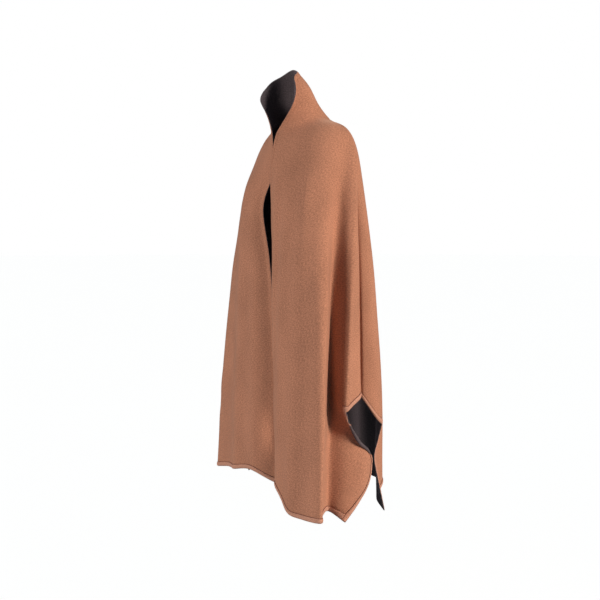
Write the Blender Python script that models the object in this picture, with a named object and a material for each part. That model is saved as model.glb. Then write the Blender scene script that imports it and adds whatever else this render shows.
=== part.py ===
"""A long open wool cape with a tall grown-on collar, as it hangs from a wearer's shoulders.

The cape is one draped sheet, worked out as rings around the body and folds that run down them.
Its panels are cut from that sheet along the seams, and each one is a wall of double-faced cloth.
Metres, +Z up, the cape's front faces -Y. The origin is where the shoulders hold it.
"""

import math
from collections import namedtuple

import bpy
import numpy as np

MM = 0.001

# Driving sizes of the cloth
CLOTH_THICKNESS = 2.4 * MM
BAND_WIDTH = 10 * MM
BAND_THICKNESS = 1.0 * MM
SEAM_GAP = 0.3 * MM
BAND_GAP = 0.5 * MM
SEAM_SHARE = 0.55
HANG_POWER = 1.2
CORNER_FADE = 2.5
COLLAR_FADE = 1.5
WRIST_FADE = 1.5
RIM_RISE = 1.6
CRISP_SLOPE = 1.8
SHARP_ANGLE = 60
FOLD_RADIUS = 14
COLLECTION = "wool_cape"

# Rings around the body from the collar's tip to the hem, in millimetres.
# Each has the left and right front edges, its widest point at the side, the centre back,
# the share of the folds that is open there and how square its front and back corners are.
Ring = namedtuple(
    "Ring",
    "name left_x left_y right_x right_y edge_z side_x side_y side_z back_y back_z "
    "folds front_square back_square",
)
RINGS = [
    Ring("collar_edge", 78, -80, -83, -84, 101, 46, -57, 144, -42, 160, 0.0, 1.8, 1.8),
    Ring("collar_high", 73, -81, -61, -84, 73, 68, -46, 108, -15, 127, 0.0, 1.7, 2.0),
    Ring("collar_low", 53, -83, -39, -83, 48, 75, -35, 68, 14, 80, 0.0, 1.45, 2.0),
    Ring("neck", 16, -92, -10, -90, 8, 90, -24, 38, 48, 42, 0.0, 1.3, 1.95),
    Ring("yoke", 20, -108, 3, -96, -42, 144, -8, 15, 66, 9, 0.02, 1.7, 2.1),
    Ring("shoulder", 28, -120, 4, -104, -90, 176, 0, -34, 77, -50, 0.11, 2.0, 2.2),
    Ring("chest", 42, -133, -20, -124, -170, 198, 0, -130, 90, -150, 0.29, 2.15, 2.3),
    Ring("waist", 54, -146, -1, -126, -330, 228, -2, -310, 104, -320, 0.55, 2.25, 2.35),
    Ring("wrist", 60, -148, 14, -128, -580, 256, -4, -575, 120, -580, 0.84, 2.35, 2.35),
    Ring("hem", 60, -144, 20, -132, -815, 270, -4, -826, 128, -806, 1.0, 2.35, 2.35),
]
NECK_RING = 3
YOKE_RING = 4
SHOULDER_RING = 5
WRIST_RING = 8
HEM_RING = 9

# Folds from the front edge round to the centre back. Around runs from 0 at the front edge,
# through 0.5 at the side, to 1 at the centre back. Out is how far the fold stands out of the ring
# at the hem, in millimetres. Fan is how late it moves round, crisp how sharp its line is, and cells
# is how many columns lead to it from the fold before.
Fold = namedtuple("Fold", "name around_top around_hem fan out hem_z crisp cells")
LEFT_FOLDS = [
    Fold("edge", 0.0, 0.0, 1.0, -36, -806, 0, 0),
    Fold("lapel_ridge", 0.06, 0.025, 1.25, 3, -788, 0, 3),
    Fold("front_belly", 0.20, 0.15, 1.25, 10, -838, 0, 4),
    Fold("front_ridge", 0.355, 0.302, 1.0, 44, -831, 0.15, 5),
    Fold("front_pleat", 0.52, 0.21, 1.0, -70, -838, 0, 5),
    Fold("wrist_front", 0.545, 0.405, 1.1, 6, -857, 0.9, 4),
    Fold("overarm", 0.57, 0.5, 1.1, -46, -842, 0.7, 3),
    Fold("wrist_back", 0.61, 0.68, 1.25, -6, -905, 0, 3),
    Fold("back_pleat", 0.68, 0.80, 1.25, -24, -838, 0, 4),
    Fold("back_ridge", 0.78, 0.87, 1.25, 14, -812, 0, 3),
    Fold("back_hollow", 0.90, 0.94, 1.25, -8, -803, 0, 3),
    Fold("centre_back", 1.0, 1.0, 1.0, 6, -806, 0, 2),
]
RIGHT_FOLDS = [
    Fold("edge", 0.0, 0.0, 1.0, -40, -814, 0, 0),
    Fold("lapel_ridge", 0.06, 0.04, 1.25, 2, -785, 0, 3),
    Fold("front_belly", 0.20, 0.17, 1.25, 12, -806, 0, 4),
    Fold("front_ridge", 0.36, 0.29, 1.0, 44, -824, 0.5, 5),
    Fold("front_pleat", 0.465, 0.26, 1.5, -46, -822, 0, 5),
    Fold("wrist_front", 0.495, 0.405, 1.25, 40, -842, 0, 4),
    Fold("overarm", 0.53, 0.5, 1.25, -30, -800, 0, 3),
    Fold("wrist_back", 0.58, 0.67, 1.25, 0, -880, 0, 3),
    Fold("back_pleat", 0.68, 0.79, 1.25, -20, -830, 0, 4),
    Fold("back_ridge", 0.79, 0.865, 1.25, 17, -810, 0, 3),
    Fold("back_hollow", 0.90, 0.94, 1.25, -6, -803, 0, 3),
    Fold("centre_back", 1.0, 1.0, 1.0, 6, -806, 0, 2),
]

# Below the wrist the side is open. These rows are its two edges, from the wrist to the corners,
# in millimetres, with both sides drawn at +X.
SideEdge = namedtuple("SideEdge", "name ring front_x front_y front_z back_x back_y back_z")
LEFT_SIDE = [
    SideEdge("wrist", 8.0, 248, -56, -609, 216, 63, -653),
    SideEdge("slope", 8.28, 221, -6, -674, 200, 63, -694),
    SideEdge("tuck", 8.55, 190, 50, -731, 187, 62, -735),
    SideEdge("flare", 8.72, 197, 41, -781, 184, 74, -784),
    SideEdge("turn", 8.86, 203, 10, -822, 182, 84, -822),
    SideEdge("corner", 9.0, 214, -36, -857, 183, 93, -861),
]
RIGHT_SIDE = [
    SideEdge("wrist", 8.0, 284, -72, -548, 232, 60, -610),
    SideEdge("slope", 8.28, 242, -20, -634, 212, 55, -666),
    SideEdge("tuck", 8.55, 196, 30, -710, 196, 48, -716),
    SideEdge("flare", 8.72, 199, 24, -766, 194, 62, -770),
    SideEdge("turn", 8.86, 205, -4, -808, 194, 75, -811),
    SideEdge("corner", 9.0, 214, -44, -842, 196, 88, -850),
]

# Shallow rises and hollows on top of the folds: the column at the top and at the hem, the width
# and the height in millimetres, and the rings between which they show
SoftFold = namedtuple("SoftFold", "side column_top column_hem width height first last")
SOFT_FOLDS = [
    SoftFold("left", 9.4, 6.6, 24, 6.5, 5.0, 12),
    SoftFold("left", 4.6, 2.8, 15, -4.5, 5.0, 12),
    SoftFold("left", 24, 24, 6, -3.5, 5.6, 8.3),
    SoftFold("right", 5.0, 5.5, 30, 8.0, 4.5, 12),
    SoftFold("right", 0.5, 0.5, 20, -5.0, 4.5, 12),
]

FOLDS = {"left": LEFT_FOLDS, "right": RIGHT_FOLDS}
SIDE_EDGES = {"left": LEFT_SIDE, "right": RIGHT_SIDE}

# The rows of the sheet, counted in rings. The second, the last but one and the one above the wrist
# follow the inner edge of the bands.
ROWS = (
    [0, 0.25, 0.6, 1, 1.5, 2, 2.5, 3, 3.33, 3.67, 4, 4.5, 5]
    + [5.5, 6, 6.33, 6.67, 7, 7.33, 7.67, 7.96, 8]
    + [8.14, 8.28, 8.42, 8.55, 8.72, 8.86, 8.958, 9]
)


def column_of(name):
    """The column of a fold line, counted from the front edge."""
    names = [fold.name for fold in LEFT_FOLDS]
    return sum(fold.cells for fold in LEFT_FOLDS[: names.index(name) + 1])


FOLD_COLUMNS = np.array([column_of(fold.name) for fold in LEFT_FOLDS])
LAPEL = column_of("lapel_ridge")
FRONT_PLEAT = column_of("front_pleat")
WRIST_FRONT = column_of("wrist_front")
OVERARM = column_of("overarm")
WRIST_BACK = column_of("wrist_back")
BACK_PLEAT = column_of("back_pleat")
CENTRE = column_of("centre_back")
NECK_ROW = ROWS.index(NECK_RING)
WRIST_ROW = ROWS.index(WRIST_RING)
LAST_ROW = len(ROWS) - 1


def smooth(t):
    """Eases from 0 to 1 with level ends, as a fold's flank does."""
    return 0.5 - 0.5 * np.cos(math.pi * np.clip(t, 0.0, 1.0))


def through(values, place):
    """A smooth curve through evenly spaced values, read at a place counted in values."""
    last = len(values) - 1
    i = min(max(int(math.floor(place)), 0), last - 1)
    t = place - i
    before = values[i - 1] if i > 0 else 2 * values[i] - values[i + 1]
    after = values[i + 2] if i + 2 <= last else 2 * values[i + 1] - values[i]
    here, there = values[i], values[i + 1]
    return 0.5 * (
        2 * here
        + (there - before) * t
        + (2 * before - 5 * here + 4 * there - after) * t * t
        + (3 * here - before - 3 * there + after) * t**3
    )


def ring_value(name, place):
    return through([getattr(ring, name) for ring in RINGS], place)


SQUARES = ("front_square", "back_square")


def ring_points(place, arounds, side):
    """Points of the bare ring, before the folds. Side is 'left' or 'right', both drawn at +X."""
    turn = 1 if side == "left" else -1
    edge = [turn * ring_value(side + "_x", place), ring_value(side + "_y", place)]
    edge.append(ring_value("edge_z", place))
    back = [0.0, ring_value("back_y", place), ring_value("back_z", place)]
    flank = [ring_value(name, place) for name in ("side_x", "side_y", "side_z")]
    angles = math.pi * np.asarray(arounds)
    front = angles <= math.pi / 2
    end = np.where(front[:, None], edge, back)
    power = 2 / np.where(front, *(ring_value(name, place) for name in SQUARES))
    across = np.abs(np.sin(angles)) ** power
    along = np.abs(np.cos(angles)) ** power
    x = end[:, 0] + (flank[0] - end[:, 0]) * across
    y = flank[1] + (end[:, 1] - flank[1]) * along
    rise = np.where(front, RIM_RISE + (2 - RIM_RISE) * min(place, 1), 2)
    z = end[:, 2] + (flank[2] - end[:, 2]) * np.sin(angles) ** rise
    return np.stack([x, y, z], axis=1)


def outward(place, arounds, side):
    """The level directions that point out of the ring."""
    step = 0.01
    ahead = ring_points(place, np.minimum(arounds + step, 1.0), side)
    behind = ring_points(place, np.maximum(arounds - step, 0.0), side)
    run = (ahead - behind)[:, :2]
    length = np.maximum(np.hypot(run[:, 0], run[:, 1]), 1e-9)
    return np.stack([run[:, 1] / length, -run[:, 0] / length, 0 * length], axis=1)


def side_edge_point(side, edge, place):
    """A point of the open side's edge, on a smooth curve through its rows."""
    rows = SIDE_EDGES[side]
    at = np.interp(place, [row.ring for row in rows], np.arange(len(rows)))
    return np.array([through([getattr(row, f"{edge}_{axis}") for row in rows], at) for axis in "xyz"])


def ring_state(place, point, side):
    """The (around, out, height) that brings a ring's point to the given one."""
    arounds = np.linspace(0.3, 0.9, 601)
    gap = point[:2] - ring_points(place, arounds, side)[:, :2]
    nearest = int(np.argmin(np.hypot(gap[:, 0], gap[:, 1])))
    out = outward(place, arounds[nearest : nearest + 1], side)[0, :2] @ gap[nearest]
    return np.array([arounds[nearest], out, point[2]])


def fold_state(fold, place, side):
    """The (around, out, height) of a fold line by its own row of the table."""
    drop = min(max((place - SHOULDER_RING) / (HEM_RING - SHOULDER_RING), 0.0), 1.0)
    around = fold.around_top + (fold.around_hem - fold.around_top) * drop**fold.fan
    bare = ring_points(place, [around], side)[0, 2]
    hem = ring_points(HEM_RING, [fold.around_hem], side)[0, 2]
    height = bare + (fold.hem_z - hem) * drop**HANG_POWER
    return np.array([around, fold.out * ring_value("folds", place), height])


def fold_states(place, side):
    """The state of every fold line. Those of the open side meet its edges at the wrist."""
    states = []
    for fold in FOLDS[side]:
        state = fold_state(fold, place, side)
        if fold.name in ("wrist_front", "wrist_back"):
            edge = fold.name.removeprefix("wrist_")
            if place >= WRIST_RING:
                state = ring_state(place, side_edge_point(side, edge, place), side)
            elif place > SHOULDER_RING:
                wrist = ring_state(WRIST_RING, side_edge_point(side, edge, WRIST_RING), side)
                share = (place - SHOULDER_RING) / (WRIST_RING - SHOULDER_RING)
                state += (wrist - fold_state(fold, WRIST_RING, side)) * share**2
        states.append(state)
    return np.array(states)


def folded_row(place, spots, side):
    """Points of one row, with its folds. A spot is counted in columns from the front edge."""
    states = fold_states(place, side)
    first = np.searchsorted(FOLD_COLUMNS, spots, side="right") - 1
    first = np.clip(first, 0, len(FOLD_COLUMNS) - 2)
    share = (spots - FOLD_COLUMNS[first]) / np.diff(FOLD_COLUMNS)[first]
    crisp = CRISP_SLOPE * np.array([fold.crisp for fold in FOLDS[side]])
    ease = share**2 * (3 - 2 * share) + crisp[first] * share * (1 - share) ** 2
    ease -= crisp[first + 1] * share**2 * (1 - share)
    before, after = states[first], states[first + 1]
    arounds = before[:, 0] + (after[:, 0] - before[:, 0]) * share
    out = before[:, 1] + (after[:, 1] - before[:, 1]) * ease
    points = ring_points(place, arounds, side) + outward(place, arounds, side) * out[:, None]
    lift = states[:, 2] - ring_points(place, states[:, 0], side)[:, 2]
    points[:, 2] += lift[first] * (1 - ease) + lift[first + 1] * ease
    return points


def lengths_along(points):
    return np.concatenate([[0.0], np.cumsum(np.linalg.norm(np.diff(points, axis=0), axis=1))])


def soft_row(place, side):
    """A fine row with its fold lines rounded: its spots, its lengths along and its points."""
    spots = np.linspace(0, CENTRE, CENTRE * 16 + 1)
    points = folded_row(place, spots, side)
    along = lengths_along(points)
    reach = np.minimum(FOLD_RADIUS, np.minimum(along, along[-1] - along))
    slack = FOLD_RADIUS * min(max((WRIST_RING - place) / CORNER_FADE, 0.0), 1.0)
    for column in (WRIST_FRONT, OVERARM, WRIST_BACK):
        corner = np.interp(column, spots, along)
        reach = np.minimum(reach, np.abs(along - corner) + slack)
    soft = np.zeros_like(points)
    for share, weight in ((-1, 1), (-0.5, 2), (0, 2), (0.5, 2), (1, 1)):
        for axis in range(3):
            soft[:, axis] += np.interp(along + share * reach, along, points[:, axis]) * weight / 8
    return spots, lengths_along(soft), soft


def column_spots(place, side):
    """Where each column lies on its row. Those beside an open edge leave the band its width."""
    spots, along, _ = soft_row(place, side)
    columns = np.arange(CENTRE + 1.0)
    width = BAND_WIDTH / MM
    columns[1 : LAPEL + 1] = np.linspace(np.interp(width, along, spots), LAPEL, LAPEL)
    even = np.interp(np.linspace(width, along[-1], CENTRE), along, spots)
    share = smooth((YOKE_RING - place) / COLLAR_FADE)
    columns[1:] += (even - columns[1:]) * share
    share = smooth((place - WRIST_RING) / WRIST_FADE + 1)
    for edge, end in ((WRIST_FRONT, FRONT_PLEAT), (WRIST_BACK, BACK_PLEAT)):
        step = 1 if end > edge else -1
        start = np.interp(np.interp(edge, spots, along) + step * width, along, spots)
        for cell in range(1, abs(end - edge)):
            column = edge + step * cell
            spot = start + (end - start) * (cell - 1) / (abs(end - edge) - 1)
            columns[column] += (spot - columns[column]) * share
    return columns


def half_sheet(side):
    """The points of one half of the cape, by row and column, from the front edge to the centre back."""
    grid = []
    for place in ROWS:
        spots, _, points = soft_row(place, side)
        columns = column_spots(place, side)
        grid.append([np.interp(columns, spots, points[:, axis]) for axis in range(3)])
    turn = 1 if side == "left" else -1
    return np.moveaxis(np.array(grid), 1, 2) * np.array([turn, 1, 1]) * MM


class Sheet:
    """The whole draped sheet: its points, its cells and its outward normals.

    A column is counted from the left front edge, round the back, to the right front edge.
    """

    def __init__(self):
        left, right = half_sheet("left"), half_sheet("right")
        middle = 0.5 * (left[:, CENTRE] + right[:, CENTRE])
        middle[:, 0] = 0.0
        self.points = np.concatenate(
            [left[:, :CENTRE], middle[:, None], right[:, CENTRE - 1 :: -1]], axis=1
        )
        self.columns = self.points.shape[1]
        self.cells = {
            (row, column)
            for row in range(LAST_ROW)
            for column in range(self.columns - 1)
            if not self.is_side_opening(row, column)
        }
        self.normals = self.vertex_normals()

    def from_front(self, column):
        """The cell column counted from the nearer front edge, and which side it is on."""
        if column < CENTRE:
            return column, "left"
        return self.columns - 2 - column, "right"

    def is_side_opening(self, row, column):
        near, _ = self.from_front(column)
        return row >= WRIST_ROW and WRIST_FRONT <= near < WRIST_BACK

    def vertex_normals(self):
        total = np.zeros_like(self.points)
        for row, column in self.cells:
            a, b, c, d = (self.points[i] for i in self.corners(row, column))
            area = np.cross(c - a, d - b)
            for i in self.corners(row, column):
                total[i] -= area
        length = np.linalg.norm(total, axis=2, keepdims=True)
        return total / np.maximum(length, 1e-12)

    @staticmethod
    def corners(row, column):
        return [(row, column), (row, column + 1), (row + 1, column + 1), (row + 1, column)]


def boundary_edges(cells):
    """The directed edges that only one of the cells has."""
    edges = set()
    for row, column in cells:
        ring = Sheet.corners(row, column)
        for a, b in zip(ring, ring[1:] + ring[:1]):
            if (b, a) in edges:
                edges.remove((b, a))
            else:
                edges.add((a, b))
    return edges


def seam_shift(sheet, cells, all_cells):
    """How each point at a seam moves inwards, to leave half of the seam's gap."""
    edges = boundary_edges(cells)
    outer = boundary_edges(all_cells)
    shift = {}
    for row, column in cells:
        ring = Sheet.corners(row, column)
        for k, (a, b) in enumerate(zip(ring, ring[1:] + ring[:1])):
            if (a, b) not in edges or (a, b) in outer:
                continue
            before, after = ring[k - 1], ring[(k + 2) % 4]
            for here, inner in ((a, before), (b, after)):
                way = sheet.points[inner] - sheet.points[here]
                way /= np.linalg.norm(way)
                shift.setdefault(here, {})[tuple(np.round(way, 6))] = way
    return {i: sum(ways.values()) * SEAM_GAP * SEAM_SHARE for i, ways in shift.items()}


def wall(name, sheet, cells, inner, outer, material):
    """A solid wall on some of the sheet's cells, between two offsets from the sheet."""
    cells = sorted(cells)
    used = sorted({i for cell in cells for i in Sheet.corners(*cell)})
    shift = seam_shift(sheet, cells, sheet.cells)
    at = {i: k for k, i in enumerate(used)}
    middle = np.array([sheet.points[i] + shift.get(i, 0) for i in used])
    normals = np.array([sheet.normals[i] for i in used])
    verts = np.concatenate([middle + normals * outer, middle + normals * inner])
    count = len(used)
    faces = []
    for row, column in cells:
        a, b, c, d = (at[i] for i in Sheet.corners(row, column))
        faces += [(a, d, b), (b, d, c)] if (row + column) % 2 else [(a, c, b), (a, d, c)]
    faces += [tuple(count + i for i in reversed(face)) for face in faces]
    for a, b in sorted(boundary_edges(cells)):
        i, j = at[a], at[b]
        faces += [(i, j, count + j), (i, count + j, count + i)]
    mesh = bpy.data.meshes.new(name)
    mesh.from_pydata([tuple(v) for v in verts], [], faces)
    mesh.shade_smooth()
    mesh.set_sharp_from_angle(angle=math.radians(SHARP_ANGLE))
    mesh.materials.append(material)
    obj = bpy.data.objects.new(name, mesh)
    bpy.data.collections[COLLECTION].objects.link(obj)
    return obj


def cloth_material(name, colour, roughness):
    material = bpy.data.materials.new(name)
    material.use_nodes = True
    shader = material.node_tree.nodes["Principled BSDF"]
    shader.inputs["Base Color"].default_value = (*colour, 1.0)
    shader.inputs["Roughness"].default_value = roughness
    shader.inputs["Metallic"].default_value = 0.0
    return material


def panel_cells(sheet):
    """The cells of each panel, by name. The fronts carry the collar round to the centre back."""
    panels = {"left_front": set(), "right_front": set(), "back": set()}
    for row, column in sheet.cells:
        near, side = sheet.from_front(column)
        if row < NECK_ROW or near < OVERARM:
            panels[side + "_front"].add((row, column))
        else:
            panels["back"].add((row, column))
    return panels


def band_cells(sheet):
    """The cells of each turned and stitched edge, by name."""
    bands = {}
    for row, column in sheet.cells:
        near, side = sheet.from_front(column)
        front = near < OVERARM
        beside_opening = near in (WRIST_FRONT - 1, WRIST_BACK)
        over_opening = row == WRIST_ROW - 1 and WRIST_FRONT - 1 <= near <= WRIST_BACK
        if near == 0 or row == 0:
            name = "front_band_" + side
        elif over_opening or (row >= WRIST_ROW and beside_opening):
            name = "side_band_" + side
        elif row == LAST_ROW - 1:
            name = "hem_band_" + (side if front else "back")
        else:
            continue
        bands.setdefault(name, set()).add((row, column))
    return bands


def main():
    for obj in list(bpy.data.objects):
        bpy.data.objects.remove(obj)
    bpy.context.scene.collection.children.link(bpy.data.collections.new(COLLECTION))
    sheet = Sheet()
    face = cloth_material("camel_wool", (0.36, 0.15, 0.075), 0.95)
    edge = cloth_material("camel_wool_edge", (0.42, 0.19, 0.10), 0.9)
    half = CLOTH_THICKNESS / 2
    for name, cells in panel_cells(sheet).items():
        wall(name, sheet, cells, -half, half, face)
    for name, cells in sorted(band_cells(sheet).items()):
        wall(name, sheet, cells, half + BAND_GAP, half + BAND_GAP + BAND_THICKNESS, edge)


if __name__ == "__main__":
    main()
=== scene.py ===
"""The dressed wool cape: fine cloth panels, padded edge bands, top-stitching, studio floor and camera.

The cape is one draped sheet, worked out as rings around the body and folds that run down them, from
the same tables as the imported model. Metres, +Z up, the front faces -Y. Laid out as an add-on.
"""

import math
from collections import namedtuple

import bpy
import numpy as np
from bpy.props import FloatProperty, FloatVectorProperty, PointerProperty
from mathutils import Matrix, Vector


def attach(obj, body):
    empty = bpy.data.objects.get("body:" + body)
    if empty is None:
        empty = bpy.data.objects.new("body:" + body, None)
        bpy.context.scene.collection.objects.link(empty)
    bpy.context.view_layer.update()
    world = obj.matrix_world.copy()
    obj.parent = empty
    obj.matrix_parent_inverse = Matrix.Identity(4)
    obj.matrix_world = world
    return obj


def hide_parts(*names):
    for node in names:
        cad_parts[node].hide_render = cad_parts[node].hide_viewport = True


bl_info = {
    "name": "Wool cape",
    "version": (1, 0, 0),
    "blender": (4, 5, 0),
    "location": "3D View > Sidebar > Cape",
    "description": "Builds an open wool cape with a tall collar around its packed model",
    "category": "Object",
}

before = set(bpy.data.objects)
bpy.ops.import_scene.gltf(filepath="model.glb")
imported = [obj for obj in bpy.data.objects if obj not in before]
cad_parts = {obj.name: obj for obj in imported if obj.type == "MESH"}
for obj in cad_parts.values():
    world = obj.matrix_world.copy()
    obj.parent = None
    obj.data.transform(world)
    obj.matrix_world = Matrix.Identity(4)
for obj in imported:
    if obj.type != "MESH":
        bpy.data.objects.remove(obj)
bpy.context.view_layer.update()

MM = 0.001
BODY = "root"

# What one run has made so far: the sheet, the finishes and the pieces, by name
_made = {}

# The turned edges' width in metres, and how the folds form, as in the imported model. Fades are
# counted in rings and the radius that softens a fold line is in millimetres.
BAND_WIDTH = 10 * MM
HANG_POWER = 1.2
CORNER_FADE = 2.5
COLLAR_FADE = 1.5
WRIST_FADE = 1.5
RIM_RISE = 1.6
CRISP_SLOPE = 1.8
FOLD_RADIUS = 14

# Sizes that only the fine sheet has, in metres: how far a panel stands back from a seam, how far
# a band's edge stands over the cloth and its base sinks in, the roll of the side openings' front
# edges and the rounding of the collar's tips
SEAM_SETBACK = 0.0165 * MM
BAND_LIFT = 0.05 * MM
BAND_SINK = 0.3 * MM
CURL_WIDTH = 8 * MM
CURL_LIFT = 6 * MM
TIP_RADIUS = 20 * MM
TIP_REACH = 36 * MM

# The rings between which a side opening's edge rolls outwards, how many columns move, where
# across them the roll starts and how far it turns
CURL_FIRST = 8.04
CURL_LAST = 8.6
CURL_COLUMNS = 1.4
CURL_START = 0.35
CURL_TURN = 1.25 * math.pi

# Rings around the body from the collar's tip to the hem, in millimetres.
# Each has the left and right front edges, its widest point at the side, the centre back,
# the share of the folds that is open there and how square its front and back corners are.
Ring = namedtuple(
    "Ring",
    "name left_x left_y right_x right_y edge_z side_x side_y side_z back_y back_z "
    "folds front_square back_square",
)
RINGS = [
    Ring("collar_edge", 87, -80, -93, -84, 102, 46, -57, 144, -42, 160, 0.0, 1.8, 1.8),
    Ring("collar_high", 73, -81, -61, -84, 73, 68, -46, 108, -15, 127, 0.0, 1.7, 2.0),
    Ring("collar_low", 53, -83, -39, -83, 48, 75, -35, 68, 14, 80, 0.0, 1.45, 2.0),
    Ring("neck", 16, -92, -10, -90, 8, 90, -24, 38, 48, 42, 0.0, 1.3, 1.95),
    Ring("yoke", 20, -108, 3, -96, -42, 144, -8, 15, 66, 9, 0.02, 1.7, 2.1),
    Ring("shoulder", 28, -120, 4, -104, -90, 176, 0, -34, 77, -50, 0.11, 2.0, 2.2),
    Ring("chest", 42, -133, -20, -124, -170, 198, 0, -130, 90, -150, 0.29, 2.15, 2.3),
    Ring("waist", 54, -146, -1, -126, -330, 228, -2, -310, 104, -320, 0.55, 2.25, 2.35),
    Ring("wrist", 60, -148, 14, -128, -580, 256, -4, -575, 120, -580, 0.84, 2.35, 2.35),
    Ring("hem", 60, -144, 20, -132, -815, 270, -4, -826, 128, -806, 1.0, 2.35, 2.35),
]
NECK_RING = 3
YOKE_RING = 4
SHOULDER_RING = 5
WRIST_RING = 8
HEM_RING = 9

# Folds from the front edge round to the centre back. Around runs from 0 at the front edge,
# through 0.5 at the side, to 1 at the centre back. Out is how far the fold stands out of the ring
# at the hem, in millimetres. Fan is how late it moves round, crisp how sharp its line is, and cells
# is how many columns lead to it from the fold before.
Fold = namedtuple("Fold", "name around_top around_hem fan out hem_z crisp cells")
LEFT_FOLDS = [
    Fold("edge", 0.0, 0.0, 1.0, -36, -806, 0, 0),
    Fold("lapel_ridge", 0.06, 0.025, 1.25, 3, -788, 0, 3),
    Fold("front_belly", 0.20, 0.15, 1.25, 10, -838, 0, 4),
    Fold("front_ridge", 0.355, 0.302, 1.0, 44, -831, 0.15, 5),
    Fold("front_pleat", 0.52, 0.21, 1.0, -70, -838, 0, 5),
    Fold("wrist_front", 0.545, 0.405, 1.1, 6, -857, 0.9, 4),
    Fold("overarm", 0.57, 0.5, 1.1, -46, -842, 0.7, 3),
    Fold("wrist_back", 0.61, 0.68, 1.25, -6, -905, 0, 3),
    Fold("back_pleat", 0.68, 0.80, 1.25, -24, -838, 0, 4),
    Fold("back_ridge", 0.78, 0.87, 1.25, 14, -812, 0, 3),
    Fold("back_hollow", 0.90, 0.94, 1.25, -8, -803, 0, 3),
    Fold("centre_back", 1.0, 1.0, 1.0, 6, -806, 0, 2),
]
RIGHT_FOLDS = [
    Fold("edge", 0.0, 0.0, 1.0, -40, -814, 0, 0),
    Fold("lapel_ridge", 0.06, 0.04, 1.25, 2, -785, 0, 3),
    Fold("front_belly", 0.20, 0.17, 1.25, 12, -806, 0, 4),
    Fold("front_ridge", 0.36, 0.29, 1.0, 44, -824, 0.5, 5),
    Fold("front_pleat", 0.465, 0.26, 1.5, -46, -822, 0, 5),
    Fold("wrist_front", 0.495, 0.405, 1.25, 40, -842, 0, 4),
    Fold("overarm", 0.53, 0.5, 1.25, -30, -800, 0, 3),
    Fold("wrist_back", 0.58, 0.67, 1.25, 0, -880, 0, 3),
    Fold("back_pleat", 0.68, 0.79, 1.25, -20, -830, 0, 4),
    Fold("back_ridge", 0.79, 0.865, 1.25, 17, -810, 0, 3),
    Fold("back_hollow", 0.90, 0.94, 1.25, -6, -803, 0, 3),
    Fold("centre_back", 1.0, 1.0, 1.0, 6, -806, 0, 2),
]

# Below the wrist the side is open. These rows are its two edges, from the wrist to the corners,
# in millimetres, with both sides drawn at +X.
SideEdge = namedtuple("SideEdge", "name ring front_x front_y front_z back_x back_y back_z")
LEFT_SIDE = [
    SideEdge("wrist", 8.0, 248, -56, -609, 216, 63, -653),
    SideEdge("slope", 8.28, 221, -6, -674, 200, 63, -694),
    SideEdge("tuck", 8.55, 190, 50, -731, 187, 62, -735),
    SideEdge("flare", 8.72, 197, 41, -781, 184, 74, -784),
    SideEdge("turn", 8.86, 203, 10, -822, 182, 84, -822),
    SideEdge("corner", 9.0, 214, -36, -857, 183, 93, -861),
]
RIGHT_SIDE = [
    SideEdge("wrist", 8.0, 284, -72, -548, 232, 60, -610),
    SideEdge("slope", 8.28, 242, -20, -634, 212, 55, -666),
    SideEdge("tuck", 8.55, 196, 30, -710, 196, 48, -716),
    SideEdge("flare", 8.72, 199, 24, -766, 194, 62, -770),
    SideEdge("turn", 8.86, 205, -4, -808, 194, 75, -811),
    SideEdge("corner", 9.0, 214, -44, -842, 196, 88, -850),
]

# Shallow rises and hollows on top of the folds: the column at the top and at the hem, the width
# and the height in millimetres, and the rings between which they show
SoftFold = namedtuple("SoftFold", "side column_top column_hem width height first last")
SOFT_FOLDS = [
    SoftFold("left", 9.4, 6.6, 24, 6.5, 5.0, 12),
    SoftFold("left", 4.6, 2.8, 15, -4.5, 5.0, 12),
    SoftFold("left", 24, 24, 6, -3.5, 5.6, 8.3),
    SoftFold("right", 5.0, 5.5, 30, 8.0, 4.5, 12),
    SoftFold("right", 0.5, 0.5, 20, -5.0, 4.5, 12),
]

# Slack in the cloth: waves that run down it, each with its length in metres, its lean and its
# height, and waves that run across it, each with its length and its height
WAVES_DOWN = ((0.24, 0.10, 1.0), (0.15, -0.16, 0.6), (0.095, 0.22, 0.2))
WAVES_ACROSS = ((0.31, 0.6), (0.17, 0.2))

# How far such waves sway to the side and how long a sway is, in metres, and the ring from which
# they grow, over how many rings, and their least share above it
BEND_DOWN = (0.02, 0.13)
BEND_ACROSS = (0.03, 0.09)
WAVES_FROM = 2.0
WAVES_FADE = 4.0
WAVES_LEAST = 0.12

# Where the right front's edge lies on the flat cloth, well away from the left front's, in metres
RIGHT_EDGE_AT = 2.0

# How many rings a soft fold takes to reach its full height, and to end
SOFT_FADE_IN = 1.2
SOFT_FADE_OUT = 0.6

FOLDS = {"left": LEFT_FOLDS, "right": RIGHT_FOLDS}
SIDE_EDGES = {"left": LEFT_SIDE, "right": RIGHT_SIDE}

# The rows of the sheet, counted in rings. The second, the last but one and the one above the wrist
# follow the inner edge of the bands.
ROWS = (
    [0, 0.25, 0.6, 1, 1.5, 2, 2.5, 3, 3.33, 3.67, 4, 4.5, 5]
    + [5.5, 6, 6.33, 6.67, 7, 7.33, 7.67, 7.96, 8]
    + [8.14, 8.28, 8.42, 8.55, 8.72, 8.86, 8.958, 9]
)


def column_of(name):
    """The column of a fold line, counted from the front edge."""
    names = [fold.name for fold in LEFT_FOLDS]
    return sum(fold.cells for fold in LEFT_FOLDS[: names.index(name) + 1])


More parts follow.
